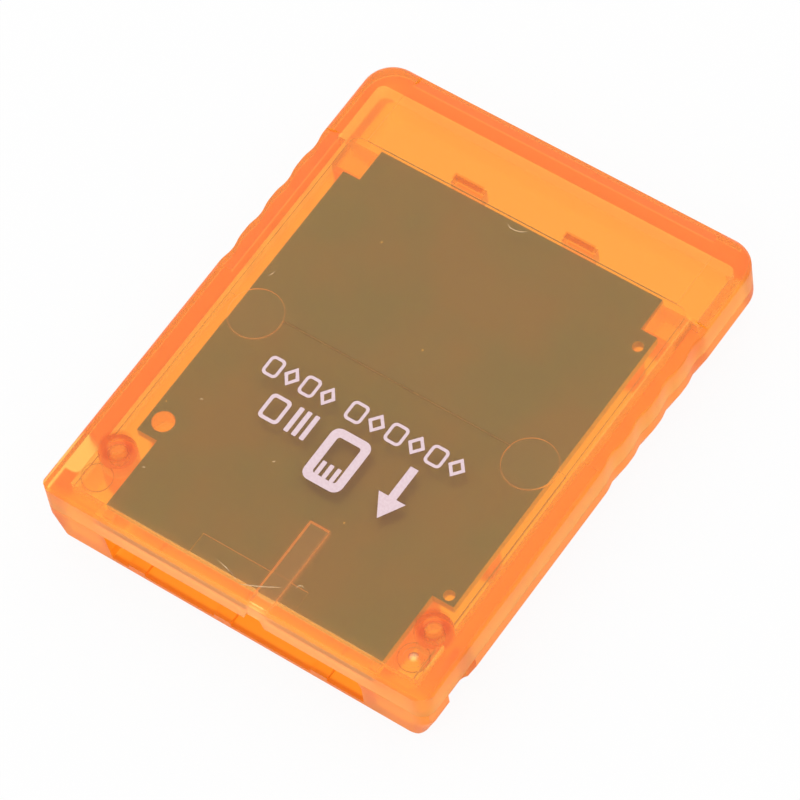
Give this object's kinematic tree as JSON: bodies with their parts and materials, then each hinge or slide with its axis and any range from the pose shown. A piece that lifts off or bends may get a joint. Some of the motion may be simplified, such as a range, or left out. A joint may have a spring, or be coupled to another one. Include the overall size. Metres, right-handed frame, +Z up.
{
  "type": "console memory card",
  "caption": "Slim rounded memory card for a games console: clear orange half shells with finger grips and a keyed connector mouth, over a circuit board with contacts.",
  "frame": {"origin": "centre of the card's outline, on the flat underside it lies on", "axes": "+Z up through the label face, -Y out of the connector mouth, +X to the right seen from above"},
  "size_m": [0.042, 0.054, 0.008],
  "materials": {
    "clear_orange_plastic": "clear moulded plastic, fine frosting inside",
    "board_laminate": "fine grained satin laminate",
    "gold_plating": "thin bright plating",
    "package_resin": "matt moulded resin",
    "tinned_leads": "tinned",
    "potting_resin": "glossy cured drop",
    "capacitor_ceramic": "tan ceramic with tinned ends",
    "resistor_ceramic": "black film with tinned ends",
    "label_ink": "thin pale screen print on the label face"
  },
  "bodies": {
    "root": {"top_shell": "clear_orange_plastic", "bottom_shell": "clear_orange_plastic", "circuit_board": "board_laminate", "contact_1": "gold_plating", "contact_2": "gold_plating", "contact_3": "gold_plating", "contact_4": "gold_plating", "contact_5": "gold_plating", "contact_6": "gold_plating", "contact_7": "gold_plating", "contact_8": "gold_plating", "flash_memory": "package_resin", "flash_memory_leads": "tinned_leads", "controller_cover": "potting_resin", "capacitor_1": "capacitor_ceramic", "resistor_1": "resistor_ceramic", "capacitor_2": "capacitor_ceramic", "resistor_2": "resistor_ceramic", "capacitor_3": "capacitor_ceramic", "resistor_3": "resistor_ceramic", "capacitor_4": "capacitor_ceramic", "resistor_4": "resistor_ceramic"}
  },
  "joints": []
}
